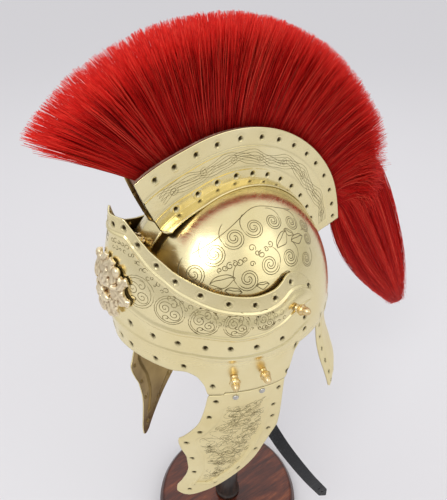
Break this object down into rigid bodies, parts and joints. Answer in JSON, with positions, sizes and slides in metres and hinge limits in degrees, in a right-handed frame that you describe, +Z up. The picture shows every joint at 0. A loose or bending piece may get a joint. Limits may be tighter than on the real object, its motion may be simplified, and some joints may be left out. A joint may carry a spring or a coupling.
{
  "type": "legionary helmet on a wooden stand",
  "caption": "Brass Roman style helmet with brow band, hinged cheek guards, red horsehair plume and leather strap on a turned wooden stand.",
  "frame": {"origin": "middle of the underside of the stand's base", "axes": "+Z up, the face looks along -Y, the wearer's left is +X"},
  "size_m": [0.2304, 0.4934, 0.6805],
  "materials": {
    "brass_sheet": "polished pale brass with dark engraving",
    "cast_brass": "cast, warm and pale, darker in its hollows",
    "finial_brass": "polished, coppery gold",
    "rivet_steel": "bright worn steel",
    "red_horsehair": "coarse dyed hair",
    "crest_wood": "plain brown wood",
    "black_leather": "worn black leather",
    "mahogany": "glossy red brown varnish",
    "black_wood": "black varnish"
  },
  "bodies": {
    "root": {"dome": "brass_sheet", "brow_band": "brass_sheet", "neck_guard": "brass_sheet", "crest_box": "brass_sheet", "crest_block": "crest_wood", "plume": "red_horsehair", "front_mask": "cast_brass", "hinge_leaf_upper_left": "brass_sheet", "hinge_leaf_upper_right": "brass_sheet", "hinge_pin_left": "rivet_steel", "hinge_pin_right": "rivet_steel", "finial_front_left": "finial_brass", "finial_front_right": "finial_brass", "finial_rear_left": "finial_brass", "finial_rear_right": "finial_brass", "finial_lobe_left": "finial_brass", "finial_lobe_right": "finial_brass", "finial_tongue": "finial_brass", "stand_base": "mahogany", "stand_post": "black_wood"},
    "cheek_guard_left": {"cheek_guard_left": "brass_sheet", "hinge_leaf_lower_left": "brass_sheet", "rivet_front_left": "rivet_steel", "rivet_rear_left": "rivet_steel", "chin_strap": "black_leather"},
    "cheek_guard_right": {"cheek_guard_right": "brass_sheet", "hinge_leaf_lower_right": "brass_sheet", "rivet_front_right": "rivet_steel", "rivet_rear_right": "rivet_steel"}
  },
  "joints": [
    {"name": "cheek_hinge_left", "type": "hinge", "parent": "root", "child": "cheek_guard_left", "pos_m": [0.08994, -0.04255, 0.38375], "axis": [0.3595, 0.9332, 0], "range_deg": [-12, 12]},
    {"name": "cheek_hinge_right", "type": "hinge", "parent": "root", "child": "cheek_guard_right", "pos_m": [-0.08994, -0.04255, 0.38375], "axis": [0.3595, -0.9332, 0], "range_deg": [-12, 12]}
  ]
}
